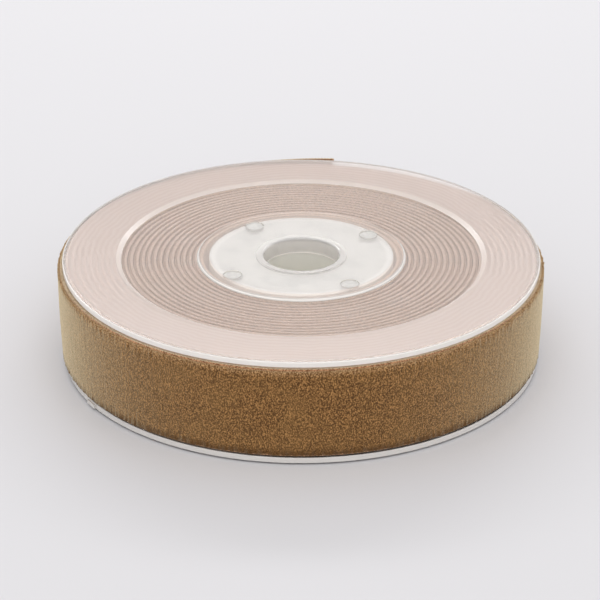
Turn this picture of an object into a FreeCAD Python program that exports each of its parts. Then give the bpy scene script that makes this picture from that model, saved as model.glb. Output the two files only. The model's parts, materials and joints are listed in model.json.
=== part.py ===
"""A spool of velvet ribbon: two clear flanges staked to a milky hub, a strip of ribbon wound on it, and its loose end.

Frame: the spool lies on its bottom flange on z = 0, the bore's axis is Z, and X points right.
All lengths are millimetres, all angles degrees. Every size comes from the spreadsheet "Sizes".
"""
import FreeCAD
import Part
import math
import os

import Sketcher

SHEET = "Sizes"

DRIVING_SIZES = [
    # alias, value, what it is
    ("ribbon_width", 15.8, "width of the velvet ribbon, selvedge to selvedge"),
    ("ribbon_thickness", 0.9, "ground cloth with its pile"),
    ("turn_gap", 0.08, "air between one turn and the next"),
    ("turn_count", 25, "whole turns wound on the hub"),
    ("take_off_angle", 118, "where the loose end leaves the roll, anticlockwise from X"),
    ("tail_length", 26, "length of the loose end"),
    ("tail_curl_radius", 72, "radius of the curl that is left in the loose end"),
    ("tail_gap", 0.1, "cut between the roll and the loose end, where it bends"),
    ("side_clearance", 0.1, "between a selvedge and the flange beside it"),
    ("flange_radius", 40, "outer radius of both flanges"),
    ("flange_thickness", 1, "thickness of a flange at its rim and at its boss"),
    ("recess_depth", 0.4, "depth of the ring sunk in a flange's outer face"),
    ("recess_radius", 31, "outer radius of that ring, at the outer face"),
    ("recess_slope", 0.8, "width of the slope round the ring"),
    ("boss_radius", 17.15, "radius of the raised boss round the bore"),
    ("boss_slope", 0.3, "width of the slope round the boss"),
    ("rim_rounding", 0.2, "rounding of a flange's outer edges"),
    ("bore_radius", 6.35, "radius of the bore through both collars"),
    ("bore_rounding", 0.35, "rounding of the bore's mouth"),
    ("collar_wall", 1, "wall of the collar that centres a flange in the hub"),
    ("collar_depth", 2.85, "depth of a collar below the outer face"),
    ("collar_clearance", 0.05, "between a collar and its seat in the hub's tube"),
    ("hub_radius", 15.45, "radius of the barrel that the ribbon is wound on"),
    ("barrel_wall", 1.4, "wall of the barrel"),
    ("tube_wall", 1.2, "wall of the hub's inner tube, round a collar's seat"),
    ("web_thickness", 1.2, "disc that closes the hub's top end, from tube to barrel"),
    ("rib_thickness", 1.2, "radial ribs between tube and barrel, under the disc"),
    ("stud_count", 4, "studs at each end of the hub"),
    ("stud_radius", 1.5, "radius of a stud"),
    ("stud_edge", 0.05, "from a stud's side to the barrel's outer face"),
    ("stud_angle", 35, "angle of the first stud, anticlockwise from X"),
    ("stud_clearance", 0.05, "between a stud and its hole"),
    ("stud_recess", 0.15, "how far a staked stud ends below the flange's outer face"),
    ("gate_width", 2.4, "width of the moulding gate's stub on a flange's edge"),
    ("gate_length", 0.35, "how far that stub stands out"),
    ("gate_thickness", 0.6, "thickness of that stub"),
    ("gate_angle", 4, "angle from the gate's stub to the nearest stud hole"),
    ("tape_thickness", 0.1, "double-sided tape under the ribbon's inner end"),
    ("tape_width", 12, "width of that tape, along the hub"),
    ("tape_angle", 50, "how far round the hub the tape reaches"),
    ("tape_clearance", 0.05, "between the tape and the first turn"),
]


def make_sheet(doc):
    """The spreadsheet that holds every driving size under its alias."""
    sheet = doc.addObject("Spreadsheet::Sheet", SHEET)
    for row, (alias, value, meaning) in enumerate(DRIVING_SIZES, start=1):
        sheet.set(f"A{row}", meaning)
        sheet.set(f"B{row}", str(value))
        sheet.setAlias(f"B{row}", alias)
    doc.recompute()
    return sheet


def size(alias):
    """The expression for one cell of the sheet."""
    return f"{SHEET}.{alias}"


FLANGE_GAP = f"({size('ribbon_width')} + 2 * {size('side_clearance')})"
TOTAL_HEIGHT = f"({FLANGE_GAP} + 2 * {size('flange_thickness')})"
COLLAR_RADIUS = f"({size('bore_radius')} + {size('collar_wall')})"
SEAT_RADIUS = f"({COLLAR_RADIUS} + {size('collar_clearance')})"
SEAT_DEPTH = f"({size('collar_depth')} - {size('flange_thickness')} + {size('collar_clearance')})"
TUBE_RADIUS = f"({SEAT_RADIUS} + {size('tube_wall')})"
BARREL_BORE = f"({size('hub_radius')} - {size('barrel_wall')})"
STUD_CIRCLE = f"({size('hub_radius')} - {size('stud_edge')} - {size('stud_radius')})"


def origin_part(body, role):
    """One of a body's own origin planes or axes, found by its role."""
    return next(part for part in body.Origin.OriginFeatures if part.Role == role)


def new_sketch(body, name, role):
    """An empty sketch on one of the body's origin planes."""
    sketch = body.newObject("Sketcher::SketchObject", name)
    sketch.AttachmentSupport = [(origin_part(body, role), "")]
    sketch.MapMode = "FlatFace"
    return sketch


def bind(sketch, kind, references, name, expression):
    """Adds one dimension to a sketch and ties it to an expression of the sheet's cells."""
    value = sketch.evalExpression(expression)
    value = float(getattr(value, "Value", value))
    index = sketch.addConstraint(Sketcher.Constraint(kind, *references, value))
    sketch.renameConstraint(index, name)
    sketch.setExpression(f"Constraints.{name}", expression)


def draw_outline(sketch, corners):
    """A closed outline of straight lines, with both coordinates of every corner tied to the sheet."""
    places = []
    for across, up in corners:
        x, y = (sketch.evalExpression(text) for text in (across, up))
        places.append(FreeCAD.Vector(float(getattr(x, "Value", x)), float(getattr(y, "Value", y)), 0))
    count = len(places)
    for here in range(count):
        sketch.addGeometry(Part.LineSegment(places[here], places[(here + 1) % count]), False)
    for here in range(count):
        sketch.addConstraint(Sketcher.Constraint("Coincident", here, 2, (here + 1) % count, 1))
    for here, (across, up) in enumerate(corners):
        bind(sketch, "DistanceX", (-1, 1, here, 1), f"across_{here}", across)
        bind(sketch, "DistanceY", (-1, 1, here, 1), f"up_{here}", up)


def draw_circle(sketch, centre_x, radius):
    """A circle centred on the sketch's X axis."""
    x = sketch.evalExpression(centre_x)
    x = float(getattr(x, "Value", x))
    index = sketch.addGeometry(Part.Circle(FreeCAD.Vector(x, 0, 0), FreeCAD.Vector(0, 0, 1), 1), False)
    sketch.addConstraint(Sketcher.Constraint("PointOnObject", index, 3, -1))
    bind(sketch, "DistanceX", (-1, 1, index, 3), "centre", centre_x)
    bind(sketch, "Radius", (index,), "radius", radius)


def revolve(body, name, corners):
    """A solid turned about Z from an outline in the XZ plane."""
    sketch = new_sketch(body, name + "_outline", "XZ_Plane")
    draw_outline(sketch, corners)
    turned = body.newObject("PartDesign::Revolution", name)
    turned.Profile = sketch
    turned.ReferenceAxis = (sketch, ["V_Axis"])
    turned.Angle = 360
    body.Document.recompute()
    return turned


def repeat_round(body, feature, name, count):
    """Copies a feature evenly round the Z axis."""
    pattern = body.newObject("PartDesign::PolarPattern", name)
    pattern.Originals = [feature]
    pattern.Axis = (origin_part(body, "Z_Axis"), [""])
    pattern.Angle = 360
    pattern.setExpression("Occurrences", count)
    body.Tip = pattern
    body.Document.recompute()
    return pattern


def circular_edges(feature, radius, height):
    """Names of the feature's full circles of this radius at this height."""
    names = []
    for number, edge in enumerate(feature.Shape.Edges, start=1):
        if not isinstance(edge.Curve, Part.Circle):
            continue
        centred = math.hypot(edge.Curve.Center.x, edge.Curve.Center.y) < 1e-6
        if centred and abs(edge.Curve.Radius - radius) < 1e-6 and abs(edge.Curve.Center.z - height) < 1e-6:
            names.append(f"Edge{number}")
    return names


def round_edges(body, base, name, edges, radius):
    """Rounds edges of the body's last feature."""
    fillet = body.newObject("PartDesign::Fillet", name)
    fillet.Base = (base, edges)
    fillet.setExpression("Radius", radius)
    body.Document.recompute()
    return fillet


def place(obj, height, yaw="0", roll="0"):
    """Ties an object's place to the sheet: its height, its turn about Z, and a half turn about X if it lies face down."""
    vector = f"create(<<vector>>; 0; 0; {height})"
    rotation = f"create(<<rotation>>; {yaw}; 0; {roll})"
    obj.setExpression("Placement", f"create(<<placement>>; {vector}; {rotation})")


def make_flange(doc, sheet, label, height, yaw, roll):
    """A clear flange. Its own frame has the outer face on z = 0, the solid below it, and the gate's stub on +X."""
    body = doc.addObject("PartDesign::Body", label)
    body.Label = label
    inner_face = f"-{size('flange_thickness')}"
    floor = f"-{size('recess_depth')}"
    turned = revolve(body, label + "_disc", [
        (size("bore_radius"), "0"),
        (size("boss_radius"), "0"),
        (f"{size('boss_radius')} + {size('boss_slope')}", floor),
        (f"{size('recess_radius')} - {size('recess_slope')}", floor),
        (size("recess_radius"), "0"),
        (size("flange_radius"), "0"),
        (size("flange_radius"), inner_face),
        (COLLAR_RADIUS, inner_face),
        (COLLAR_RADIUS, f"-{size('collar_depth')}"),
        (size("bore_radius"), f"-{size('collar_depth')}"),
    ])

    rim = circular_edges(turned, sheet.flange_radius, 0)
    rim += circular_edges(turned, sheet.flange_radius, -sheet.flange_thickness)
    rounded = round_edges(body, turned, label + "_rim", rim, size("rim_rounding"))
    mouth = circular_edges(rounded, sheet.bore_radius, 0)
    round_edges(body, rounded, label + "_mouth", mouth, size("bore_rounding"))

    half_width = f"{size('gate_width')} / 2"
    tip = f"{size('flange_radius')} + {size('gate_length')}"
    root = f"{size('flange_radius')} - {size('rim_rounding')} - {size('gate_length')}"
    outline = new_sketch(body, label + "_gate_outline", "XY_Plane")
    draw_outline(outline, [(root, f"-{half_width}"), (tip, f"-{half_width}"), (tip, half_width), (root, half_width)])
    outline.setExpression(
        ".AttachmentOffset.Base.z", f"-({size('flange_thickness')} + {size('gate_thickness')}) / 2")
    gate = body.newObject("PartDesign::Pad", label + "_gate")
    gate.Profile = outline
    gate.setExpression("Length", size("gate_thickness"))
    doc.recompute()

    hole_outline = new_sketch(body, label + "_hole_outline", "XY_Plane")
    draw_circle(hole_outline, STUD_CIRCLE, f"{size('stud_radius')} + {size('stud_clearance')}")
    hole_outline.setExpression(".AttachmentOffset.Rotation.Angle", f"-{size('gate_angle')}")
    hole = body.newObject("PartDesign::Pocket", label + "_stud_hole")
    hole.Profile = hole_outline
    hole.Type = "ThroughAll"
    doc.recompute()
    repeat_round(body, hole, label + "_stud_holes", size("stud_count"))

    place(body, height, yaw, roll)
    return body


def make_hub(doc):
    """The hub: a barrel and a tube under one disc, with ribs, and studs that are staked through the flanges."""
    body = doc.addObject("PartDesign::Body", "hub_core")
    body.Label = "hub_core"
    under_disc = f"({FLANGE_GAP} - {size('web_thickness')})"
    upper_seat = f"({FLANGE_GAP} - {SEAT_DEPTH})"
    revolve(body, "hub_section", [
        (size("bore_radius"), SEAT_DEPTH),
        (SEAT_RADIUS, SEAT_DEPTH),
        (SEAT_RADIUS, "0"),
        (TUBE_RADIUS, "0"),
        (TUBE_RADIUS, under_disc),
        (BARREL_BORE, under_disc),
        (BARREL_BORE, "0"),
        (size("hub_radius"), "0"),
        (size("hub_radius"), FLANGE_GAP),
        (SEAT_RADIUS, FLANGE_GAP),
        (SEAT_RADIUS, upper_seat),
        (size("bore_radius"), upper_seat),
    ])

    half_rib = f"{size('rib_thickness')} / 2"
    inside = f"{TUBE_RADIUS} - {size('tube_wall')} / 2"
    outside = f"{size('hub_radius')} - {size('barrel_wall')} / 2"
    rib_outline = new_sketch(body, "rib_outline", "XY_Plane")
    draw_outline(rib_outline, [
        (inside, f"-{half_rib}"), (outside, f"-{half_rib}"), (outside, half_rib), (inside, half_rib)])
    rib = body.newObject("PartDesign::Pad", "rib")
    rib.Profile = rib_outline
    rib.setExpression("Length", FLANGE_GAP)
    doc.recompute()
    repeat_round(body, rib, "ribs", size("stud_count"))

    reach = f"({size('flange_thickness')} - {size('stud_recess')})"
    stud_outline = new_sketch(body, "stud_outline", "XY_Plane")
    draw_circle(stud_outline, STUD_CIRCLE, size("stud_radius"))
    stud_outline.setExpression(".AttachmentOffset.Base.z", f"-{reach}")
    stud = body.newObject("PartDesign::Pad", "stud")
    stud.Profile = stud_outline
    stud.setExpression("Length", f"{FLANGE_GAP} + 2 * {reach}")
    doc.recompute()
    repeat_round(body, stud, "studs", size("stud_count"))

    place(body, size("flange_thickness"), size("stud_angle"))
    return body


def make_tape(doc):
    """The double-sided tape that holds the ribbon's inner end to the hub, as a sector of a thin ring."""
    outer = doc.addObject("Part::Cylinder", "tape_outer")
    outer.setExpression("Radius", f"{size('hub_radius')} + {size('tape_thickness')}")
    outer.setExpression("Height", size("tape_width"))
    outer.setExpression("Angle", size("tape_angle"))
    inner = doc.addObject("Part::Cylinder", "tape_inner")
    inner.setExpression("Radius", size("hub_radius"))
    inner.setExpression("Height", size("tape_width"))
    tape = doc.addObject("Part::Cut", "start_tape")
    tape.Label = "start_tape"
    tape.Base = outer
    tape.Tool = inner
    middle = f"{TOTAL_HEIGHT} / 2 - {size('tape_width')} / 2"
    place(tape, middle, f"{size('take_off_angle')} - {size('tape_angle')}")
    return tape


def arc(centre_x, radius, start, end):
    """An arc in the XY plane about a point of the X axis, between two angles in degrees."""
    circle = Part.Circle(FreeCAD.Vector(centre_x, 0, 0), FreeCAD.Vector(0, 0, 1), radius)
    return Part.ArcOfCircle(circle, math.radians(start), math.radians(end)).toShape()


def line(from_x, to_x):
    """A straight edge along the X axis."""
    return Part.makeLine(FreeCAD.Vector(from_x, 0, 0), FreeCAD.Vector(to_x, 0, 0))


def wound_outline(first_radius, thickness, pitch, turns):
    """The face of a strip wound clockwise in half turns about two centres, one pitch out for each turn.

    Both ends lie on +X. first_radius is where the strip's inner side starts. Half turns above the X axis
    have their centre a quarter pitch to the right, those below it a quarter pitch to the left.
    """
    step = pitch / 2
    inner_side = []
    outer_side = []
    for half_turn in range(2 * turns):
        below = half_turn % 2 == 0
        centre = -step / 2 if below else step / 2
        radius = first_radius + step / 2 + half_turn * step
        start, end = (180, 360) if below else (0, 180)
        inner_side.append(arc(centre, radius, start, end))
        outer_side.append(arc(centre, radius + thickness, start, end))
    last_radius = first_radius + turns * pitch
    ends = [line(first_radius, first_radius + thickness), line(last_radius, last_radius + thickness)]
    return Part.Face(Part.Wire(Part.__sortEdges__(inner_side + outer_side + ends)))


def curled_outline(start_radius, thickness, curl_radius, gap, length):
    """The face of the loose end: it carries on clockwise from +X on a wider curl, a short gap after the roll."""
    centre = start_radius - curl_radius
    first = -math.degrees(gap / curl_radius)
    last = -math.degrees(length / curl_radius)
    sides = [arc(centre, curl_radius, last, first), arc(centre, curl_radius + thickness, last, first)]
    caps = []
    for angle in (first, last):
        direction = FreeCAD.Vector(math.cos(math.radians(angle)), math.sin(math.radians(angle)), 0)
        middle = FreeCAD.Vector(centre, 0, 0)
        caps.append(Part.makeLine(middle + direction * curl_radius, middle + direction * (curl_radius + thickness)))
    return Part.Face(Part.Wire(Part.__sortEdges__(sides + caps)))


def make_strip(doc, sheet, label, outline):
    """A stretch of ribbon: its outline on edge, raised to the ribbon's width between the flanges."""
    strip = doc.addObject("Part::Feature", label)
    strip.Label = label
    strip.Shape = outline.extrude(FreeCAD.Vector(0, 0, sheet.ribbon_width))
    height = sheet.flange_thickness + sheet.side_clearance
    turn = FreeCAD.Rotation(FreeCAD.Vector(0, 0, 1), sheet.take_off_angle)
    strip.Placement = FreeCAD.Placement(FreeCAD.Vector(0, 0, height), turn)
    return strip


def make_ribbon(doc, sheet):
    """The wound ribbon, and its loose end, which bends where it leaves the roll."""
    first_radius = sheet.hub_radius + sheet.tape_thickness + sheet.tape_clearance
    pitch = sheet.ribbon_thickness + sheet.turn_gap
    turns = int(round(sheet.turn_count))
    last_radius = first_radius + turns * pitch
    wound = wound_outline(first_radius, sheet.ribbon_thickness, pitch, turns)
    loose = curled_outline(
        last_radius, sheet.ribbon_thickness, sheet.tail_curl_radius, sheet.tail_gap, sheet.tail_length)
    roll = make_strip(doc, sheet, "ribbon_roll", wound)
    tail = make_strip(doc, sheet, "ribbon_tail", loose)
    bend_radius = last_radius + sheet.ribbon_thickness
    angle = math.radians(sheet.take_off_angle)
    print(f"loose end bends about x {bend_radius * math.cos(angle):.4f} y {bend_radius * math.sin(angle):.4f} mm")
    print(f"ribbon length {wound.Area / sheet.ribbon_thickness + sheet.tail_length:.0f} mm")
    return [roll, tail]


def check(doc, parts):
    """Stops if any object failed to build, or a part's shape is missing or broken."""
    for obj in doc.Objects:
        if {"Invalid", "Error"} & set(obj.State):
            raise RuntimeError(f"{obj.Label} failed: {obj.State}")
    for part in parts:
        if part.Shape.isNull() or not part.Shape.isValid() or not part.Shape.Solids:
            raise RuntimeError(f"{part.Label} has no valid solid")


def main():
    doc = FreeCAD.newDocument("RibbonSpool")
    sheet = make_sheet(doc)
    face_down = f"{size('stud_angle')} - {size('gate_angle')} + 180"
    face_up = f"{size('stud_angle')} + {size('gate_angle')} + 90"
    parts = [
        make_flange(doc, sheet, "bottom_flange", "0", face_down, "180"),
        make_flange(doc, sheet, "top_flange", TOTAL_HEIGHT, face_up, "0"),
        make_hub(doc),
        make_tape(doc),
        *make_ribbon(doc, sheet),
    ]
    doc.recompute()
    check(doc, parts)
    os.makedirs("parts", exist_ok=True)
    for part in parts:
        part.Shape.exportStep(f"parts/{part.Label}.step")
        box = part.Shape.BoundBox
        print(f"{part.Label}: {len(part.Shape.Solids)} solid, {part.Shape.Volume:.1f} mm3, "
              f"x {box.XMin:.2f} {box.XMax:.2f} y {box.YMin:.2f} {box.YMax:.2f} z {box.ZMin:.2f} {box.ZMax:.2f}")


main()
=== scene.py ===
"""The looks of a spool of velvet ribbon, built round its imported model.

The flanges, the hub and the tape are the model's own solids with finer materials. The velvet
ribbon is modelled again as a woven strip with a pile on its outer side: one piece for the wound
roll and one for its loose end, which bends where it leaves the roll.
"""
import json
import math

import bpy
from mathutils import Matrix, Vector, noise


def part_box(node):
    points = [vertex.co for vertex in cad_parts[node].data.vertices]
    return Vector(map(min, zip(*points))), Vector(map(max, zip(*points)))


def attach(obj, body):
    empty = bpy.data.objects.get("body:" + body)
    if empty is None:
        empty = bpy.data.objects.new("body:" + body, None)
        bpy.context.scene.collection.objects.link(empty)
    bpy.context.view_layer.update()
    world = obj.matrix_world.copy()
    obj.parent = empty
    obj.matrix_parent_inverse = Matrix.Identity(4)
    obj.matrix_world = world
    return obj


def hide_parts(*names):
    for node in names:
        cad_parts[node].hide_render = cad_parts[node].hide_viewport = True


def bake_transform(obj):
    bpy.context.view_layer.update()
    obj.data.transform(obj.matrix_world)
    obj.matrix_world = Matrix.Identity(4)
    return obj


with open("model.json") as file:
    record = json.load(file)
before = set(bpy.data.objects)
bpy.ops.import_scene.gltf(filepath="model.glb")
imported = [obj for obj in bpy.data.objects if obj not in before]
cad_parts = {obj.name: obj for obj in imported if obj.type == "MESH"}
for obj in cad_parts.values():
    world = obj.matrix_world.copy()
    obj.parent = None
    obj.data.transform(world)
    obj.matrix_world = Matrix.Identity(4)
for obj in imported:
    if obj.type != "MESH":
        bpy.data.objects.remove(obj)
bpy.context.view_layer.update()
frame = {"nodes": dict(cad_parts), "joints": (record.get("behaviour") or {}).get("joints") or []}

MM = 0.001

# The ribbon's section. Offsets are from its inner side outwards, margins from its selvedges.
RIBBON_THICKNESS = 0.9 * MM
CLOTH_THICKNESS = 0.5 * MM
CLOTH_ROUNDING = 0.04 * MM
PILE_TOP_MARGIN = 0.36 * MM
PILE_BOTTOM_MARGIN = 0.35 * MM
INNER_PILE_RISE = 0.12 * MM
PILE_ROUNDING = 0.16 * MM
PILE_ROWS = 14
ROUNDING_STEPS = 4
SHARP_ANGLE = math.radians(50)

# How the ribbon is wound
TURN_GAP = 0.08 * MM
TURN_COUNT = 25
PITCH = RIBBON_THICKNESS + TURN_GAP
COARSE_STEPS = 112
FINE_STEP = 0.16 * MM
FINE_TURNS = 1.05
TURN_HEIGHT_SPREAD = 0.09 * MM
TURN_HEIGHT_CHANGE = 2.3  # radians of winding
TURN_HEIGHT_GAIN = 1.6
TURN_HEIGHT_ROW = 4.2
ROLL_LEAN = 0.45 * MM
PRESSED_DEPTH = 0.65 * MM
PRESSED_FROM, PRESSED_TO = math.radians(34), math.radians(112)
PRESSED_FADE = math.radians(17)
BULGE_HEIGHT = 0.36 * MM
BULGE_ANGLE, BULGE_REACH = math.radians(14), math.radians(62)

# The loose end. It lies along the roll on a curl of its own, lifts and then hooks back in.
TAIL_CURL_RADIUS = 72 * MM
TAIL_LENGTH = 26 * MM
TAIL_SLACK = 0.3 * MM
TAIL_SLACK_TURNS = 0.15
TAIL_LIFT = 0.12
TAIL_HOOK = 5.85

# Fuzz of the pile and the picks of the selvedge
FUZZ_SIZE = 0.36 * MM
FUZZ_HEIGHT = 0.035 * MM
EDGE_FUZZ_HEIGHT = 0.2 * MM
SECOND_FUZZ = Vector((31.7, 5.1, 9.3))
PICK_PITCH = 0.55 * MM
PICK_DEPTH = 0.12 * MM

# The ribbon's texture. A rise is the range of a noise over which what it drives grows.
TUFT_SIZE = 0.17 * MM
TUFT_DEPTH = 0.15 * MM
TUFT_STRETCH = (1, 1, 0.6)
TIPS_RISE = (0.38, 0.74)
BRUSHED_SIZE = 6 * MM
BRUSHED_RISE, BRUSHED_SHARE = (0.35, 0.7), 0.2
THREAD_SIZE = 0.3 * MM
THREAD_RISE = (0.38, 0.62)
THREAD_DEPTH = 0.08 * MM

# The ribbon's colours. A pair is the colour in the hollows and the one on the tips.
PILE_COLOURS = ((0.083, 0.034, 0.009), (0.49, 0.251, 0.086))
PILE_EDGE_COLOURS = ((0.16, 0.08, 0.03), (0.58, 0.385, 0.21))
# Painted highlight: lighter pile colours under the top edge, where the light from above catches it
PILE_TOP_HIGHLIGHT_COLOURS = ((0.15, 0.065, 0.022), (0.74, 0.45, 0.21))
# Painted light: the inner turns' pile edges are lighter than the ribbon, as lit from above under
# the clear flange
INNER_PILE_END_LIT_COLOURS = ((0.54, 0.39, 0.295), (0.70, 0.52, 0.405))
CLOTH_COLOURS = ((0.19, 0.085, 0.04), (0.46, 0.25, 0.14))
# Painted light: the inner turns' cloth is lighter than the outermost turn's, as lit from above
# under the flange
INNER_CLOTH_LIT_COLOURS = ((0.50, 0.355, 0.26), (0.72, 0.525, 0.395))
MARGIN_COLOURS = ((0.17, 0.068, 0.026), (0.66, 0.36, 0.19))
# Painted light: the inner turns' selvedges are lighter than the outermost turn's, as lit from above
# under the flange
INNER_SELVEDGE_LIT_COLOURS = ((0.60, 0.43, 0.33), (0.80, 0.60, 0.475))
OUTER_SELVEDGE_COLOURS = ((0.30, 0.205, 0.11), (0.62, 0.48, 0.32))
BRUSHED_COLOUR = (0.30, 0.165, 0.055)
# Painted sheen: lighter colours mixed into the velvet and its cloth where they are seen aslant
PAINTED_SHEEN_COLOURS = ((0.49, 0.385, 0.215), (0.76, 0.61, 0.36))
PAINTED_CLOTH_SHEEN_COLOUR = (0.56, 0.47, 0.32)
PAINTED_SHEEN_SHARE, PAINTED_CLOTH_SHEEN_SHARE = 0.7, 0.8
OUTERMOST_RISE = (39.4 * MM, 39.7 * MM)
# Painted highlight: how far below the top edge the pile is lightened, and how much
TOP_HIGHLIGHT_BELOW_TOP, TOP_HIGHLIGHT_SHARE = (1.5 * MM, 0.6 * MM), 0.75
# Painted shade: how high over the base the pile is darkened, and how much
FOOT_SHADE_ABOVE_BASE, FOOT_SHADE_SHARE = (0.3 * MM, 2 * MM), 0.85
SHEEN_TINT = (1, 0.88, 0.64)

# What the section's points belong to, in the order of the ribbon's materials
FACE_KINDS = ("selvedge", "cloth", "margin", "edge", "face")

# Clearances
SIDE_CLEARANCE = 0.1 * MM
SEAT_AIR = 0.04 * MM
FLOOR_AIR = 0.25 * MM

# The flange's zones, by radius: where each fades in and where it fades out
FROST_RISE, FROST_FALL = (29.9 * MM, 30.3 * MM), (39.55 * MM, 39.15 * MM)
STEP_RISE, STEP_FALL = (29.7 * MM, 29.9 * MM), (31.7 * MM, 31.5 * MM)
BOSS_RISE, BOSS_FALL = (16.95 * MM, 17.3 * MM), (17.65 * MM, 17.3 * MM)
BOSS_TOP_RISE, BOSS_TOP_FALL = (14.95 * MM, 15.45 * MM), (17.3 * MM, 16.95 * MM)
STUDS_RISE, STUDS_FALL = (10.92 * MM, 11.4 * MM), (16.8 * MM, 16.3 * MM)
COLLAR_FALL = (7.7 * MM, 7.5 * MM)
RIM_RISE = (39.78 * MM, 39.9 * MM)
WORN_EDGE_RISE, WORN_EDGE_SHARE = (39.15 * MM, 39.35 * MM), 0.7
HUB_EDGE_RISE = (15.35 * MM, 15.45 * MM)

# Its zones by height: the outer side above its inner side, and the seam beside the collar's end
OUTER_SIDE_RISE = (0.3 * MM, 0.5 * MM)
SEAM_FALL = (0.4 * MM, 0.2 * MM)
SHEET_THICKNESS = 1.0 * MM
COLLAR_DEPTH = 2.85 * MM
WALL_RISE = (0.98, 0.93)

# Its looks. How cloudy a zone is, 1 being opaque, is one number or grows from its foot to its top.
RIM_CLOUDINESS = (0.7, 0.8)
# The step, the boss and the seam are made cloudy and pale so that they show as bright lines:
# painted highlights
CLOUDINESS = {
    "step": 0.42, "boss": 0.85, "boss_top": 0.25, "studs": 0.95, "collar": 0.4, "seam": 0.97,
}
OVER_HUB_SHARE = 0.4
LAMPLIGHT_THROUGH = (0.2, 1)
STYRENE_IOR = 1.59
POLISHED, FROSTED = 0.06, 0.277
CLEAR_SHARE, FROST_CLEAR_SHARE = 0.975, 0.88
SMUDGE_SIZE = 9 * MM
SMUDGE_RISE, SMUDGE_SHARE = (0.5, 0.8), 0.04
GRAIN_SIZE = 0.35 * MM
GRAIN_DEPTH = 0.008 * MM
TURNS_SHIFT_RISE, TURNS_SHIFT = (0.3, 0.7), 6
CLEAR_TINT = (0.985, 0.975, 0.965)
# Painted show-through: the frost's pinkish tints stand for the ribbon seen through it
FROST_SHOW_THROUGH_TINTS = ((0.885, 0.797, 0.752), (0.965, 0.885, 0.842))
CLOUDY_TINT = (1.0, 0.957, 0.91)
# Painted light: a warm tint as a highlight on the step ring and as a glow on a band beside the
# hub's edge
EDGE_PAINTED_LIGHT_TINT = (1.0, 0.90, 0.83)
SHADOW_TINT = (0.96, 0.95, 0.94)

# The hub's zones by radius, the staked ends above its own ends, and its looks
BARREL_RISE = (13.9 * MM, 14.7 * MM)
TUBE_FALL = (7.95 * MM, 7.35 * MM)
STAKED_RISE = (0.2 * MM, 0.8 * MM)
FLOW_SIZE = 4 * MM
FLOW_RISE = (0.42, 0.72)
FLOW_DEPTH = 0.05 * MM
THIN_TINTS = ((0.87, 0.855, 0.80), (0.76, 0.75, 0.705))
BARREL_TINT = (1.0, 0.985, 0.93)
TUBE_TINT = (0.88, 0.86, 0.79)
STAKED_SPECK_SIZE = 0.8 * MM
STAKED_TINTS = ((0.40, 0.385, 0.36), (0.74, 0.72, 0.69))

# The tape's looks
TAPE_FIBRE_SIZE = 0.6 * MM
TAPE_FIBRE_DEPTH = 0.02 * MM
TAPE_TINTS = ((0.80, 0.76, 0.66), (0.87, 0.84, 0.76))

# The studio. A softbox has an azimuth and elevation in degrees, a distance, a width, a height and
# its own brightness, where 1 is white.
FLOOR_REACH = 6
FLOOR_COLOUR = (0.685, 0.68, 0.703)
WORLD_COLOUR = (1, 0.99, 0.98)
WORLD_LEVEL = 0.82
BACKDROP_COLOUR = (0.80, 0.79, 0.82)
SOFTBOXES = {
    "back_softbox": (0, 34.8, 0.58, 0.6, 0.081, 5.5),
    "front_softbox": (180, 30, 1.6, 1.4, 0.9, 0.7),
    "top_softbox": (180, 74, 1.6, 1.4, 1.4, 0.92),
}

# The camera, fitted to the object's outline
CAMERA_DISTANCE = 520 * MM
CAMERA_ELEVATION = math.radians(25.945)
CAMERA_LENS = 184.74
CAMERA_TARGET = Vector((-0.224, 0, 9.4)) * MM

# Where the loose end leaves the roll, and the roll's sizes that follow from it
hinge = Vector(frame["joints"][0]["pos_m"])
take_off = math.atan2(hinge.y, hinge.x)
last_outer_radius = math.hypot(hinge.x, hinge.y)
first_radius = last_outer_radius - RIBBON_THICKNESS - TURN_COUNT * PITCH
ribbon_low, ribbon_high = (corner.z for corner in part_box("ribbon_roll"))
RIBBON_WIDTH = ribbon_high - ribbon_low


# ---------------------------------------------------------------- node helpers

def new_material(name):
    """An empty node material, its Principled shader and its tree."""
    material = bpy.data.materials.new(name)
    material.use_nodes = True
    tree = material.node_tree
    return material, tree.nodes["Principled BSDF"], tree


def math_node(tree, operation, first, second=0.0):
    """A Math node. Each input is a number or a socket."""
    node = tree.nodes.new("ShaderNodeMath")
    node.operation = operation
    for index, value in enumerate((first, second)):
        if isinstance(value, bpy.types.NodeSocket):
            tree.links.new(value, node.inputs[index])
        else:
            node.inputs[index].default_value = value
    return node.outputs["Value"]


def product(tree, first, *others):
    """The product of several numbers or sockets."""
    for other in others:
        first = math_node(tree, "MULTIPLY", first, other)
    return first


def largest(tree, first, *others):
    """The largest of several numbers or sockets."""
    for other in others:
        first = math_node(tree, "MAXIMUM", first, other)
    return first


def apart(tree, first, second):
    """How far two values are apart."""
    return math_node(tree, "ABSOLUTE", math_node(tree, "SUBTRACT", first, second))


def remap(tree, value, from_low, from_high, to_low=0, to_high=1):
    """Maps a value smoothly from one range to another."""
    node = tree.nodes.new("ShaderNodeMapRange")
    node.interpolation_type = "SMOOTHSTEP"
    tree.links.new(value, node.inputs["Value"])
    ends = {"From Min": from_low, "From Max": from_high, "To Min": to_low, "To Max": to_high}
    for socket, end in ends.items():
        node.inputs[socket].default_value = end
    return node.outputs["Result"]


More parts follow.
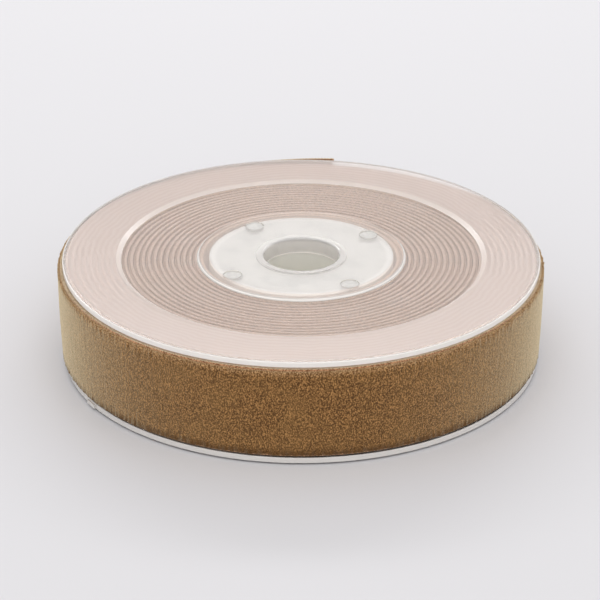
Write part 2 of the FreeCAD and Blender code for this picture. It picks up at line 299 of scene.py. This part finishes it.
def mix_colours(tree, factor, first, second):
    """A colour mix. Each colour is a tuple or a socket."""
    node = tree.nodes.new("ShaderNodeMix")
    node.data_type = "RGBA"
    sockets = {socket.identifier: socket for socket in node.inputs}
    for name, value in (("Factor_Float", factor), ("A_Color", first), ("B_Color", second)):
        if isinstance(value, bpy.types.NodeSocket):
            tree.links.new(value, sockets[name])
        elif name == "Factor_Float":
            sockets[name].default_value = value
        else:
            sockets[name].default_value = (*value, 1)
    return next(s for s in node.outputs if s.identifier == "Result_Color")


def object_coordinates(tree):
    """The place on the object, in metres."""
    return tree.nodes.new("ShaderNodeTexCoord").outputs["Object"]


def noise_node(tree, vector, size, detail, roughness=0.55):
    """Noise whose blotches are about this large."""
    node = tree.nodes.new("ShaderNodeTexNoise")
    node.inputs["Scale"].default_value = 1 / size
    node.inputs["Detail"].default_value = detail
    node.inputs["Roughness"].default_value = roughness
    tree.links.new(vector, node.inputs["Vector"])
    return node.outputs["Fac"]


def bump(tree, height, distance, strength):
    """A bump from a height of 0 to 1 times distance."""
    node = tree.nodes.new("ShaderNodeBump")
    node.inputs["Strength"].default_value = strength
    node.inputs["Distance"].default_value = distance
    tree.links.new(height, node.inputs["Height"])
    return node.outputs["Normal"]


def radius_from_axis(tree, coordinates):
    """Distance from the spool's axis."""
    flat = tree.nodes.new("ShaderNodeVectorMath")
    flat.operation = "MULTIPLY"
    flat.inputs[1].default_value = (1, 1, 0)
    tree.links.new(coordinates, flat.inputs[0])
    length = tree.nodes.new("ShaderNodeVectorMath")
    length.operation = "LENGTH"
    tree.links.new(flat.outputs["Vector"], length.inputs[0])
    return length.outputs["Value"]


def height_above_floor(tree, place):
    """How high a place on the object is."""
    axes = tree.nodes.new("ShaderNodeSeparateXYZ")
    tree.links.new(place, axes.inputs[0])
    return axes.outputs["Z"]


def height_from_middle(tree, height):
    """How far a height is above or below the middle of the spool."""
    return apart(tree, height, (ribbon_low + ribbon_high) / 2)


# ---------------------------------------------------------------- materials

def let_lamps_through(tree, shader, clearness, tint):
    """Lets the lamps' light reach what lies behind a clear shader."""
    path = tree.nodes.new("ShaderNodeLightPath")
    see_through = tree.nodes.new("ShaderNodeBsdfTransparent")
    see_through.inputs["Color"].default_value = (*tint, 1)
    mix = tree.nodes.new("ShaderNodeMixShader")
    share = product(tree, path.outputs["Is Shadow Ray"], clearness)
    tree.links.new(share, mix.inputs["Fac"])
    tree.links.new(shader.outputs["BSDF"], mix.inputs[1])
    tree.links.new(see_through.outputs["BSDF"], mix.inputs[2])
    tree.links.new(mix.outputs["Shader"], tree.nodes["Material Output"].inputs["Surface"])


def ring(tree, radius, rise, fall):
    """1 in a ring round the axis. rise and fall are the radii where it fades in and fades out."""
    return product(tree, remap(tree, radius, *rise), remap(tree, radius, *fall))


def upright_walls(tree):
    """1 on upright and sloping faces, and 0 on flat ones."""
    geometry = tree.nodes.new("ShaderNodeNewGeometry")
    normal = tree.nodes.new("ShaderNodeSeparateXYZ")
    tree.links.new(geometry.outputs["True Normal"], normal.inputs[0])
    return remap(tree, math_node(tree, "ABSOLUTE", normal.outputs["Z"]), *WALL_RISE)


def flange_zones(tree, radius, height):
    """The flange's zones by name, each 1 in its place and 0 elsewhere."""
    inner_side = RIBBON_WIDTH / 2 + SIDE_CLEARANCE
    collar_end = ribbon_high + SIDE_CLEARANCE + SHEET_THICKNESS - COLLAR_DEPTH
    walls = upright_walls(tree)
    outer_side = remap(
        tree, height_from_middle(tree, height), *(inner_side + rise for rise in OUTER_SIDE_RISE))
    collar = remap(tree, radius, *COLLAR_FALL)
    over_hub = remap(tree, radius, *BOSS_TOP_RISE, OVER_HUB_SHARE, 1)
    return {
        "frost": product(tree, ring(tree, radius, FROST_RISE, FROST_FALL), outer_side),
        "rim": remap(tree, radius, *RIM_RISE),
        "step": product(tree, ring(tree, radius, STEP_RISE, STEP_FALL), walls),
        "boss": product(tree, ring(tree, radius, BOSS_RISE, BOSS_FALL), outer_side),
        "boss_top": product(tree, remap(tree, radius, *BOSS_TOP_FALL), over_hub, outer_side),
        "studs": product(tree, ring(tree, radius, STUDS_RISE, STUDS_FALL), walls),
        "collar": collar,
        "seam": product(tree, remap(tree, apart(tree, height, collar_end), *SEAM_FALL), collar),
    }


def flange_tint(tree, radius, smudges, cloudy, zones):
    """The flange's tint: pale in the frost, with warm painted highlights on its edges.

    Faint rings and a pinkish tint, painted in the frost, stand for the turns of ribbon that show
    through it.
    """
    # Painted show-through: rings at the ribbon's pitch stand for its turns under the frost
    turns = product(tree, radius, 2 * math.pi / PITCH)
    turns = math_node(tree, "ADD", turns, remap(tree, smudges, *TURNS_SHIFT_RISE, 0, TURNS_SHIFT))
    turns = remap(tree, math_node(tree, "SINE", turns), -1, 1)
    tint = mix_colours(tree, zones["frost"], CLEAR_TINT, mix_colours(tree, turns, *FROST_SHOW_THROUGH_TINTS))
    tint = mix_colours(tree, cloudy, tint, CLOUDY_TINT)
    # Painted light: the step ring and a band beside the hub's edge take the warm tint
    boss_edge = product(tree, zones["boss_top"], remap(tree, radius, *HUB_EDGE_RISE))
    return mix_colours(tree, largest(tree, zones["step"], boss_edge), tint, EDGE_PAINTED_LIGHT_TINT)


def clear_styrene():
    """Clear plastic with bright edges: polished in the sunk ring, frosted outside it. Its step,
    boss and seam are made cloudy and pale as painted highlight lines.
    """
    material, shader, tree = new_material("clear_styrene")
    place = object_coordinates(tree)
    radius = radius_from_axis(tree, place)
    height = height_above_floor(tree, place)
    zones = flange_zones(tree, radius, height)
    rim = product(
        tree, zones["rim"], remap(tree, height, ribbon_low, ribbon_high, *RIM_CLOUDINESS))
    # Painted highlights: the cloudy step, boss and seam show as bright lines
    cloudy = largest(
        tree, rim, *(product(tree, zones[zone], amount) for zone, amount in CLOUDINESS.items()))
    smudges = noise_node(tree, place, SMUDGE_SIZE, detail=4)
    tint = flange_tint(tree, radius, smudges, cloudy, zones)
    tree.links.new(tint, shader.inputs["Base Color"])

    worn_edge = remap(tree, radius, *WORN_EDGE_RISE, 0, WORN_EDGE_SHARE)
    dull = largest(tree, zones["frost"], worn_edge, zones["step"], zones["boss"])
    tree.links.new(remap(tree, dull, 0, 1, POLISHED, FROSTED), shader.inputs["Roughness"])
    clear = remap(tree, zones["frost"], 0, 1, CLEAR_SHARE, FROST_CLEAR_SHARE)
    smudged = remap(tree, smudges, *SMUDGE_RISE, 0, SMUDGE_SHARE)
    clear = math_node(tree, "SUBTRACT", clear, smudged)
    clear = product(tree, clear, math_node(tree, "SUBTRACT", 1.0, cloudy))
    tree.links.new(clear, shader.inputs["Transmission Weight"])
    shader.inputs["IOR"].default_value = STYRENE_IOR
    grain = product(tree, noise_node(tree, place, GRAIN_SIZE, detail=2), zones["frost"])
    tree.links.new(bump(tree, grain, GRAIN_DEPTH, strength=0.5), shader.inputs["Normal"])
    upper = remap(tree, height, ribbon_low, ribbon_high, *LAMPLIGHT_THROUGH)
    let_lamps_through(tree, shader, product(tree, clear, upper), SHADOW_TINT)
    return material


def milky_styrene():
    """The hub's translucent plastic, greyer where it is thin and on its studs' staked ends."""
    material, shader, tree = new_material("milky_styrene")
    place = object_coordinates(tree)
    radius = radius_from_axis(tree, place)
    away = height_from_middle(tree, height_above_floor(tree, place))
    flow = noise_node(tree, place, FLOW_SIZE, detail=5)
    colour = mix_colours(tree, remap(tree, flow, *FLOW_RISE), *THIN_TINTS)
    colour = mix_colours(tree, remap(tree, radius, *BARREL_RISE), colour, BARREL_TINT)
    colour = mix_colours(tree, remap(tree, radius, *TUBE_FALL), colour, TUBE_TINT)
    end = RIBBON_WIDTH / 2 + SIDE_CLEARANCE
    staked = remap(tree, away, *(end + rise for rise in STAKED_RISE))
    specks = noise_node(tree, place, STAKED_SPECK_SIZE, detail=3)
    dull = mix_colours(tree, specks, *STAKED_TINTS)
    colour = mix_colours(tree, staked, colour, dull)
    tree.links.new(colour, shader.inputs["Base Color"])
    shader.inputs["Roughness"].default_value = 0.4
    shader.inputs["Subsurface Weight"].default_value = 0.35
    shader.inputs["Subsurface Scale"].default_value = 2.5 * MM
    shader.inputs["Subsurface Radius"].default_value = (1, 1, 1)
    tree.links.new(bump(tree, flow, FLOW_DEPTH, strength=0.3), shader.inputs["Normal"])
    return material


def tape():
    """The double-sided tape's dull film."""
    material, shader, tree = new_material("tape")
    fibres = noise_node(tree, object_coordinates(tree), TAPE_FIBRE_SIZE, detail=4)
    tree.links.new(mix_colours(tree, fibres, *TAPE_TINTS), shader.inputs["Base Color"])
    shader.inputs["Roughness"].default_value = 0.6
    tree.links.new(bump(tree, fibres, TAPE_FIBRE_DEPTH, strength=0.4), shader.inputs["Normal"])
    return material


def painted_sheen_share(tree, share):
    """A painted sheen: rises to this share on faces seen along, standing for the sheen of brushed
    threads.
    """
    sheen_paint = tree.nodes.new("ShaderNodeLayerWeight")
    sheen_paint.inputs["Blend"].default_value = 0.5
    return product(tree, math_node(tree, "POWER", sheen_paint.outputs["Facing"], 2.0), share)


def outermost_zone(tree, place):
    """1 on the outermost turn and the loose end, and 0 on the turns inside, whose colours are
    painted lighter.
    """
    return remap(tree, radius_from_axis(tree, place), *OUTERMOST_RISE)


def velvet_pile(name, sheen, inner_colours, outer_colours):
    """Short dense pile with tufts, brushed patches, a sheen and a painted sheen.

    The turns inside the roll are painted lighter than the outermost one. A painted highlight lies
    under the top edge and painted shade over the foot.
    """
    material, shader, tree = new_material(name)
    place = object_coordinates(tree)
    height = height_above_floor(tree, place)
    outermost = outermost_zone(tree, place)
    stretched = tree.nodes.new("ShaderNodeVectorMath")
    stretched.operation = "MULTIPLY"
    stretched.inputs[1].default_value = TUFT_STRETCH
    tree.links.new(place, stretched.inputs[0])
    tufts = noise_node(tree, stretched.outputs["Vector"], TUFT_SIZE, detail=1, roughness=0.6)
    tips = remap(tree, tufts, *TIPS_RISE)
    inner = mix_colours(tree, tips, *inner_colours)
    outer = mix_colours(tree, tips, *outer_colours)
    patches = noise_node(tree, place, BRUSHED_SIZE, detail=3)
    brushed = remap(tree, patches, *BRUSHED_RISE, 0, BRUSHED_SHARE)
    outer = mix_colours(tree, brushed, outer, BRUSHED_COLOUR)
    # Painted sheen: the pile turns lighter where it is seen aslant
    sheen_paint = mix_colours(tree, tips, *PAINTED_SHEEN_COLOURS)
    outer = mix_colours(tree, painted_sheen_share(tree, PAINTED_SHEEN_SHARE), outer, sheen_paint)
    # Painted highlight: the pile turns lighter under its top edge
    top_highlight_rise = (ribbon_high - drop for drop in TOP_HIGHLIGHT_BELOW_TOP)
    top_highlight = remap(tree, height, *top_highlight_rise, 0, TOP_HIGHLIGHT_SHARE * sheen)
    outer = mix_colours(tree, top_highlight, outer, mix_colours(tree, tips, *PILE_TOP_HIGHLIGHT_COLOURS))
    # Painted shade: the pile darkens to its hollow colour towards its foot
    foot_shade_fall = (ribbon_low + rise for rise in FOOT_SHADE_ABOVE_BASE)
    foot_shade = remap(tree, height, *foot_shade_fall, FOOT_SHADE_SHARE, 0)
    outer = mix_colours(tree, foot_shade, outer, outer_colours[0])
    tree.links.new(mix_colours(tree, outermost, inner, outer), shader.inputs["Base Color"])
    shader.inputs["Roughness"].default_value = 0.95
    shader.inputs["Specular IOR Level"].default_value = 0.15
    shader.inputs["Sheen Weight"].default_value = sheen
    shader.inputs["Sheen Roughness"].default_value = 0.38
    shader.inputs["Sheen Tint"].default_value = (*SHEEN_TINT, 1)
    tree.links.new(bump(tree, tufts, TUFT_DEPTH, strength=0.8), shader.inputs["Normal"])
    return material


def woven(name, inner_colours, outer_colours):
    """Plain woven cloth with a painted sheen. Its turns inside the roll are painted lighter than
    the outermost one.
    """
    material, shader, tree = new_material(name)
    place = object_coordinates(tree)
    threads = noise_node(tree, place, THREAD_SIZE, detail=3, roughness=0.7)
    lit = remap(tree, threads, *THREAD_RISE)
    inner = mix_colours(tree, lit, *inner_colours)
    outer = mix_colours(tree, lit, *outer_colours)
    # Painted sheen: the cloth turns lighter where it is seen aslant
    outer = mix_colours(tree, painted_sheen_share(tree, PAINTED_CLOTH_SHEEN_SHARE), outer, PAINTED_CLOTH_SHEEN_COLOUR)
    colour = mix_colours(tree, outermost_zone(tree, place), inner, outer)
    tree.links.new(colour, shader.inputs["Base Color"])
    shader.inputs["Roughness"].default_value = 0.85
    shader.inputs["Specular IOR Level"].default_value = 0.2
    shader.inputs["Sheen Weight"].default_value = 0.2
    shader.inputs["Sheen Roughness"].default_value = 0.5
    tree.links.new(bump(tree, threads, THREAD_DEPTH, strength=0.6), shader.inputs["Normal"])
    return material


# ---------------------------------------------------------------- the ribbon

def ribbon_section():
    """The strip's section as (offset, height, kind) points, round once, of kinds in FACE_KINDS."""
    points = []
    corner = CLOTH_ROUNDING
    for height in (corner, RIBBON_WIDTH / 2, RIBBON_WIDTH - corner):
        points.append((0.0, height, "cloth"))
    points.append((corner, RIBBON_WIDTH, "selvedge"))
    points.append((CLOTH_THICKNESS - corner, RIBBON_WIDTH, "selvedge"))
    points.append((CLOTH_THICKNESS, RIBBON_WIDTH - corner, "margin"))
    pile_top = RIBBON_WIDTH - PILE_TOP_MARGIN
    points.append((CLOTH_THICKNESS, pile_top, "margin"))

    middle = RIBBON_THICKNESS - PILE_ROUNDING
    for step in range(ROUNDING_STEPS + 1):
        turn = math.pi / 2 * step / ROUNDING_STEPS
        offset = middle + PILE_ROUNDING * math.sin(turn)
        points.append((offset, pile_top - PILE_ROUNDING * (1 - math.cos(turn)), "edge"))
    top_row = pile_top - PILE_ROUNDING
    bottom_row = PILE_BOTTOM_MARGIN + PILE_ROUNDING
    for row in range(1, PILE_ROWS):
        height = top_row + (bottom_row - top_row) * row / PILE_ROWS
        points.append((RIBBON_THICKNESS, height, "face"))
    for step in range(ROUNDING_STEPS + 1):
        turn = math.pi / 2 * step / ROUNDING_STEPS
        offset = middle + PILE_ROUNDING * math.cos(turn)
        points.append((offset, bottom_row - PILE_ROUNDING * math.sin(turn), "edge"))

    points.append((CLOTH_THICKNESS, PILE_BOTTOM_MARGIN, "margin"))
    points.append((CLOTH_THICKNESS, corner, "margin"))
    points.append((CLOTH_THICKNESS - corner, 0.0, "selvedge"))
    points.append((corner, 0.0, "selvedge"))
    return points


def fuzzed(point, along, amount):
    """A section's point with its fuzz or the selvedge's picks, this far along the ribbon."""
    offset, height, kind = point
    if kind == "edge" and height > RIBBON_WIDTH / 2:
        height += (1 - amount) * INNER_PILE_RISE
    if kind not in ("edge", "face"):
        edge = min(height, RIBBON_WIDTH - height)
        if edge < 2 * CLOTH_ROUNDING:
            pick = 0.5 + 0.5 * math.cos(2 * math.pi * along / PICK_PITCH)
            inward = 1 if height < RIBBON_WIDTH / 2 else -1
            height += inward * amount * PICK_DEPTH * pick
        return offset, height
    spot = Vector((along, height, offset)) / FUZZ_SIZE
    size = FUZZ_HEIGHT if kind == "face" else EDGE_FUZZ_HEIGHT
    offset += amount * size * noise.noise(spot)
    if kind == "edge":
        height += amount * size * noise.noise(spot + SECOND_FUZZ)
    return offset, height


def wound_point(travel, offset):
    """A point of the roll, this far round (radians) and out from the strip's inner side.

    The spiral is made of half circles, whose centres lie on either side of the axis by turns.
    """
    step = PITCH / 2
    half_turn = min(int(travel / math.pi), 2 * TURN_COUNT - 1)
    centre = -step / 2 if half_turn % 2 == 0 else step / 2
    radius = first_radius + step / 2 + half_turn * step + offset
    x = centre + radius * math.cos(travel)
    y = -radius * math.sin(travel)
    return turned(x, y)


def curled_point(along, offset):
    """A point of the loose end, this far from where it leaves the roll."""
    centre = last_outer_radius - RIBBON_THICKNESS - TAIL_CURL_RADIUS
    angle = -along / TAIL_CURL_RADIUS
    radius = TAIL_CURL_RADIUS + offset
    return turned(centre + radius * math.cos(angle), radius * math.sin(angle))


def turned(x, y):
    """Turns a point from the strip's own frame, where the roll ends on +X, to its real place."""
    cosine, sine = math.cos(take_off), math.sin(take_off)
    return x * cosine - y * sine, x * sine + y * cosine


def material_index(kind, next_kind):
    """The material of a face between points of these kinds, the later one in FACE_KINDS."""
    return max(FACE_KINDS.index(kind), FACE_KINDS.index(next_kind))


def strip_mesh(name, stations, materials):
    """A closed mesh through the stations, each a ring of points."""
    section = ribbon_section()
    count = len(section)
    kinds = [kind for _, _, kind in section]
    vertices = [point for station in stations for point in station]
    faces = []
    slots = []
    for ring in range(len(stations) - 1):
        for here in range(count):
            after = (here + 1) % count
            low, high = ring * count, (ring + 1) * count
            faces.append((low + here, low + after, high + after, high + here))
            slots.append(material_index(kinds[here], kinds[after]))
    last = (len(stations) - 1) * count
    faces.append(tuple(reversed(range(count))))
    faces.append(tuple(last + here for here in range(count)))
    slots += [FACE_KINDS.index("cloth")] * 2

    mesh = bpy.data.meshes.new(name)
    mesh.from_pydata(vertices, [], faces)
    for material in materials:
        mesh.materials.append(material)
    mesh.polygons.foreach_set("material_index", slots)
    mesh.polygons.foreach_set("use_smooth", [True] * len(faces))
    mesh.update()
    mesh.set_sharp_from_angle(angle=SHARP_ANGLE)
    piece = bpy.data.objects.new(name, mesh)
    bpy.context.scene.collection.objects.link(piece)
    return piece


def roll_travels():
    """How far round each station of the roll is, and where its fine steps begin.

    The steps are coarse inside the roll and fine on the turn that shows.
    """
    coarse_end = 2 * math.pi * (TURN_COUNT - FINE_TURNS)
    coarse_count = round(COARSE_STEPS * (TURN_COUNT - FINE_TURNS))
    travels = [coarse_end * step / coarse_count for step in range(coarse_count)]
    fine_length = 2 * math.pi * FINE_TURNS
    fine_count = round(fine_length * last_outer_radius / FINE_STEP)
    travels += [coarse_end + fine_length * step / fine_count for step in range(fine_count + 1)]
    return travels, coarse_end


def roll_height(travel):
    """How far the ribbon sits below its highest place, which changes slowly from turn to turn."""
    wander = noise.noise(Vector((travel / TURN_HEIGHT_CHANGE, TURN_HEIGHT_ROW, 0)))
    return -TURN_HEIGHT_SPREAD * (0.5 + 0.5 * max(-1, min(1, TURN_HEIGHT_GAIN * wander)))


def smooth(value):
    """A smooth step from 0 to 1."""
    value = max(0.0, min(1.0, value))
    return value * value * (3 - 2 * value)


def roll_slack(travel, end):
    """How far the roll stands out from an even spiral: pressed flat at one side, slack before it
    and at its end. The inner turns share little of it.
    """
    depth = (travel / end) ** 3
    angle = (take_off - travel) % (2 * math.pi)
    pressed = (smooth((angle - PRESSED_FROM) / PRESSED_FADE)
               * smooth((PRESSED_TO - angle) / PRESSED_FADE))
    beside = abs((angle - BULGE_ANGLE + math.pi) % (2 * math.pi) - math.pi)
    bulge = smooth(1 - beside / BULGE_REACH)
    turns_left = (end - travel) / (2 * math.pi)
    loose = smooth(1 - turns_left / TAIL_SLACK_TURNS)
    return (depth * (BULGE_HEIGHT * bulge - PRESSED_DEPTH * pressed * (1 - loose))
            + TAIL_SLACK * loose)


def build_roll(materials):
    """The wound ribbon, which leans in a little towards its lower selvedge."""
    section = ribbon_section()
    travels, fine_from = roll_travels()
    stations = []
    for travel in travels:
        amount = 1 if travel >= fine_from else 0
        share = travel / (2 * math.pi * TURN_COUNT)
        along = travel * (first_radius + share * TURN_COUNT * PITCH / 2)
        drop = roll_height(travel) * min(1, (travels[-1] - travel) / math.pi)
        slack = roll_slack(travel, travels[-1])
        ring = []
        for point in section:
            offset, height = fuzzed(point, along, amount)
            lean = ROLL_LEAN * share * (1 - height / RIBBON_WIDTH) ** 2
            x, y = wound_point(travel, offset - lean + slack)
            ring.append((x, y, ribbon_low + height + drop * height / RIBBON_WIDTH))
        stations.append(ring)
    piece = strip_mesh("velvet_roll", stations, materials)
    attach(piece, "spool")
    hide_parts("ribbon_roll")


def build_tail(materials):
    """The loose end, which bends away over its first stretch as it leaves the roll."""
    section = ribbon_section()
    count = round(TAIL_LENGTH / FINE_STEP)
    stations = []
    for step in range(count + 1):
        along = TAIL_LENGTH * step / count
        slack = TAIL_SLACK + TAIL_LIFT * along - TAIL_HOOK * along ** 2
        ring = []
        for point in section:
            offset, height = fuzzed(point, along, 1)
            lean = ROLL_LEAN * (1 - height / RIBBON_WIDTH) ** 2
            x, y = curled_point(along, offset - lean + slack)
            ring.append((x, y, ribbon_low + height))
        stations.append(ring)
    piece = strip_mesh("velvet_tail", stations, materials)
    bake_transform(piece)
    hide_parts("ribbon_tail")


def build_hub(material):
    """The hub, with a hair of air between its ends and the flanges that they meet."""
    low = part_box("bottom_flange")[0].z
    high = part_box("top_flange")[1].z
    thickness = (high - low - RIBBON_WIDTH) / 2 - SIDE_CLEARANCE
    low_seat, high_seat = low + thickness, high - thickness
    mesh = frame["nodes"]["hub_core"].data.copy()
    piece = bpy.data.objects.new("hub", mesh)
    bpy.context.scene.collection.objects.link(piece)
    for vertex in mesh.vertices:
        if abs(vertex.co.z - low_seat) < SEAT_AIR:
            vertex.co.z = low_seat + SEAT_AIR
        if abs(vertex.co.z - high_seat) < SEAT_AIR:
            vertex.co.z = high_seat - SEAT_AIR
    mesh.materials.clear()
    mesh.materials.append(material)
    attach(piece, "spool")
    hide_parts("hub_core")


def dress_cad_nodes():
    """Gives the moulded pieces and the tape their materials."""
    clear = clear_styrene()
    dressing = {"top_flange": clear, "bottom_flange": clear, "start_tape": tape()}
    for node, material in dressing.items():
        piece = frame["nodes"][node]
        for slot in piece.material_slots:
            slot.material = material


# ---------------------------------------------------------------- the studio

def add_floor():
    """A wide pale floor."""
    mesh = bpy.data.meshes.new("floor")
    corners = [(FLOOR_REACH * x, FLOOR_REACH * y, -FLOOR_AIR)
               for x, y in ((-1, -1), (1, -1), (1, 1), (-1, 1))]
    mesh.from_pydata(corners, [], [(0, 1, 2, 3)])
    material, shader, tree = new_material("floor")
    shader.inputs["Base Color"].default_value = (*FLOOR_COLOUR, 1)
    shader.inputs["Roughness"].default_value = 0.6
    shader.inputs["Specular IOR Level"].default_value = 0.2
    mesh.materials.append(material)
    floor = bpy.data.objects.new("floor", mesh)
    bpy.context.scene.collection.objects.link(floor)


def add_world():
    """Even light from all round, and a pale backdrop where the sky itself is seen."""
    world = bpy.data.worlds.new("studio")
    world.use_nodes = True
    tree = world.node_tree
    light = tree.nodes["Background"]
    light.inputs["Color"].default_value = (*WORLD_COLOUR, 1)
    light.inputs["Strength"].default_value = WORLD_LEVEL
    backdrop = tree.nodes.new("ShaderNodeBackground")
    backdrop.inputs["Color"].default_value = (*BACKDROP_COLOUR, 1)
    path = tree.nodes.new("ShaderNodeLightPath")
    seen = largest(tree, *(path.outputs["Is " + kind + " Ray"]
                           for kind in ("Camera", "Glossy", "Transmission")))
    mix = tree.nodes.new("ShaderNodeMixShader")
    tree.links.new(seen, mix.inputs["Fac"])
    tree.links.new(light.outputs["Background"], mix.inputs[1])
    tree.links.new(backdrop.outputs["Background"], mix.inputs[2])
    tree.links.new(mix.outputs["Shader"], tree.nodes["World Output"].inputs["Surface"])
    world.cycles.sampling_method = "NONE"
    bpy.context.scene.world = world


def add_softbox(name, azimuth, elevation, distance, width, height, level):
    """A softbox that faces the object."""
    light = bpy.data.lights.new(name, "AREA")
    light.shape = "RECTANGLE"
    light.size = width
    light.size_y = height
    light.energy = level * math.pi * width * height
    lamp = bpy.data.objects.new(name, light)
    turn, rise = math.radians(azimuth), math.radians(elevation)
    lamp.location = distance * Vector(
        (math.sin(turn) * math.cos(rise), math.cos(turn) * math.cos(rise), math.sin(rise)))
    lamp.rotation_euler = (-lamp.location).to_track_quat("-Z", "Y").to_euler()
    lamp.visible_camera = False
    lamp.visible_transmission = False
    bpy.context.scene.collection.objects.link(lamp)


def add_camera():
    """The camera at the viewing angle."""
    data = bpy.data.cameras.new("camera")
    data.lens = CAMERA_LENS
    camera = bpy.data.objects.new("camera", data)
    back = Vector((0, -math.cos(CAMERA_ELEVATION), math.sin(CAMERA_ELEVATION)))
    camera.location = CAMERA_TARGET + CAMERA_DISTANCE * back
    camera.rotation_euler = (math.pi / 2 - CAMERA_ELEVATION, 0, 0)
    bpy.context.scene.collection.objects.link(camera)
    bpy.context.scene.camera = camera


velvet = [
    woven("velvet_selvedge", INNER_SELVEDGE_LIT_COLOURS, OUTER_SELVEDGE_COLOURS),
    woven("velvet_cloth", INNER_CLOTH_LIT_COLOURS, CLOTH_COLOURS),
    woven("velvet_margin", INNER_CLOTH_LIT_COLOURS, MARGIN_COLOURS),
    velvet_pile("velvet_edge", 0.25, INNER_PILE_END_LIT_COLOURS, PILE_EDGE_COLOURS),
    velvet_pile("velvet_pile", 1.0, PILE_COLOURS, PILE_COLOURS),
]
dress_cad_nodes()
build_hub(milky_styrene())
build_roll(velvet)
build_tail(velvet)
add_floor()
add_world()
for softbox, settings in SOFTBOXES.items():
    add_softbox(softbox, *settings)
add_camera()
bpy.context.scene.view_settings.view_transform = "Standard"
